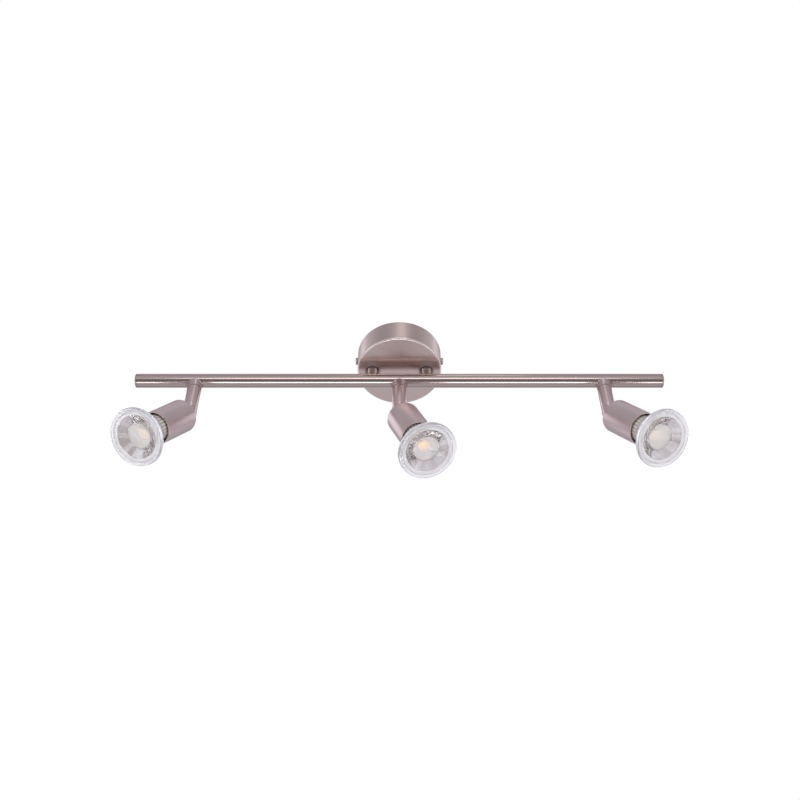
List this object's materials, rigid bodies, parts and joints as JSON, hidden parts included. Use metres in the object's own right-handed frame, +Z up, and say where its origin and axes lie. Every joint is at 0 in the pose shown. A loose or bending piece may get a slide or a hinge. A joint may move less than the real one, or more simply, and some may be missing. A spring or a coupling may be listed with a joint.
{
  "type": "ceiling spotlight bar",
  "caption": "Ceiling spotlight bar: round canopy, straight tube on short posts, and swivelling, tilting cup spots, each with a GU10 glass reflector lamp.",
  "frame": {"origin": "centre of the ceiling screw pattern, on the ceiling plane", "axes": "+Z up into the ceiling, +X along the bar, the picture looks from -Y and below"},
  "size_m": [0.466, 0.0913, 0.1624],
  "materials": {
    "satin_nickel": "satin brushed nickel plate",
    "bright_nickel": "polished nickel plate",
    "zinc_steel": "zinc plated pressed steel",
    "brass": "plain brass",
    "white_nylon": "moulded nylon",
    "lead_sleeve": "silicone and glass-fibre sleeve",
    "black_phenolic": "moulded phenolic",
    "clear_glass": "clear pressed glass",
    "clear_lens": "clear moulded lens",
    "led_module": "white solder mask with yellow phosphor",
    "white_base": "moulded thermoplastic"
  },
  "bodies": {
    "base": {"mounting_bracket": "zinc_steel", "canopy": "satin_nickel", "canopy_side_screws": "bright_nickel", "terminal_block": "white_nylon", "terminal_inserts": "brass", "terminal_screws": "zinc_steel", "earth_screw": "brass", "spacer_posts": "bright_nickel", "hollow_nipples": "zinc_steel", "nipple_nuts": "zinc_steel", "bar_tube": "satin_nickel", "bar_end_caps": "satin_nickel", "bar_harness": "lead_sleeve", "swivel_necks": "satin_nickel"},
    "arm_left": {"stem_left": "satin_nickel", "stem_fork_left": "satin_nickel", "tilt_screws_left": "bright_nickel", "stem_lead_left": "lead_sleeve"},
    "spot_left": {"cup_left": "satin_nickel", "cup_tongue_left": "satin_nickel", "lampholder_left": "black_phenolic", "lampholder_screws_left": "zinc_steel", "lampholder_contacts_left": "brass", "lampholder_leads_left": "lead_sleeve"},
    "lamp_left": {"lamp_glass_left": "clear_glass", "lamp_lens_left": "clear_lens", "led_module_left": "led_module", "lamp_base_left": "white_base", "lamp_pins_left": "bright_nickel"},
    "arm_middle": {"stem_middle": "satin_nickel", "stem_fork_middle": "satin_nickel", "tilt_screws_middle": "bright_nickel", "stem_lead_middle": "lead_sleeve"},
    "spot_middle": {"cup_middle": "satin_nickel", "cup_tongue_middle": "satin_nickel", "lampholder_middle": "black_phenolic", "lampholder_screws_middle": "zinc_steel", "lampholder_contacts_middle": "brass", "lampholder_leads_middle": "lead_sleeve"},
    "lamp_middle": {"lamp_glass_middle": "clear_glass", "lamp_lens_middle": "clear_lens", "led_module_middle": "led_module", "lamp_base_middle": "white_base", "lamp_pins_middle": "bright_nickel"},
    "arm_right": {"stem_right": "satin_nickel", "stem_fork_right": "satin_nickel", "tilt_screws_right": "bright_nickel", "stem_lead_right": "lead_sleeve"},
    "spot_right": {"cup_right": "satin_nickel", "cup_tongue_right": "satin_nickel", "lampholder_right": "black_phenolic", "lampholder_screws_right": "zinc_steel", "lampholder_contacts_right": "brass", "lampholder_leads_right": "lead_sleeve"},
    "lamp_right": {"lamp_glass_right": "clear_glass", "lamp_lens_right": "clear_lens", "led_module_right": "led_module", "lamp_base_right": "white_base", "lamp_pins_right": "bright_nickel"}
  },
  "joints": [
    {"name": "swivel_left", "type": "hinge", "parent": "base", "child": "arm_left", "pos_m": [-0.18, 0, -0.04845], "axis": [0, 0, 1], "range_deg": [-132.1, 217.9]},
    {"name": "tilt_left", "type": "hinge", "parent": "arm_left", "child": "spot_left", "pos_m": [-0.18, 0, -0.0793], "axis": [-0.7325, 0.6807, 0], "range_deg": [-123, 57]},
    {"name": "lamp_twist_left", "type": "hinge", "parent": "spot_left", "child": "lamp_left", "pos_m": [-0.18404, -0.00435, -0.08844], "axis": [-0.3707, -0.399, -0.8387], "range_deg": [0, 25]},
    {"name": "swivel_middle", "type": "hinge", "parent": "base", "child": "arm_middle", "pos_m": [0, 0, -0.04845], "axis": [0, 0, 1], "range_deg": [-220, 130]},
    {"name": "tilt_middle", "type": "hinge", "parent": "arm_middle", "child": "spot_middle", "pos_m": [0, 0, -0.0793], "axis": [-0.7071, -0.7071, 0], "range_deg": [-113.7, 66.3]},
    {"name": "lamp_twist_middle", "type": "hinge", "parent": "spot_middle", "child": "lamp_middle", "pos_m": [0.0031, -0.0031, -0.08928], "axis": [0.2842, -0.2842, -0.9157], "range_deg": [0, 25]},
    {"name": "swivel_right", "type": "hinge", "parent": "base", "child": "arm_right", "pos_m": [0.18, 0, -0.04845], "axis": [0, 0, 1], "range_deg": [-219.6, 130.4]},
    {"name": "tilt_right", "type": "hinge", "parent": "arm_right", "child": "spot_right", "pos_m": [0.18, 0, -0.0793], "axis": [-0.712, -0.7022, 0], "range_deg": [-122.6, 57.4]},
    {"name": "lamp_twist_right", "type": "hinge", "parent": "spot_right", "child": "lamp_right", "pos_m": [0.18412, -0.00418, -0.08848], "axis": [0.3783, -0.3836, -0.8425], "range_deg": [0, 25]}
  ]
}
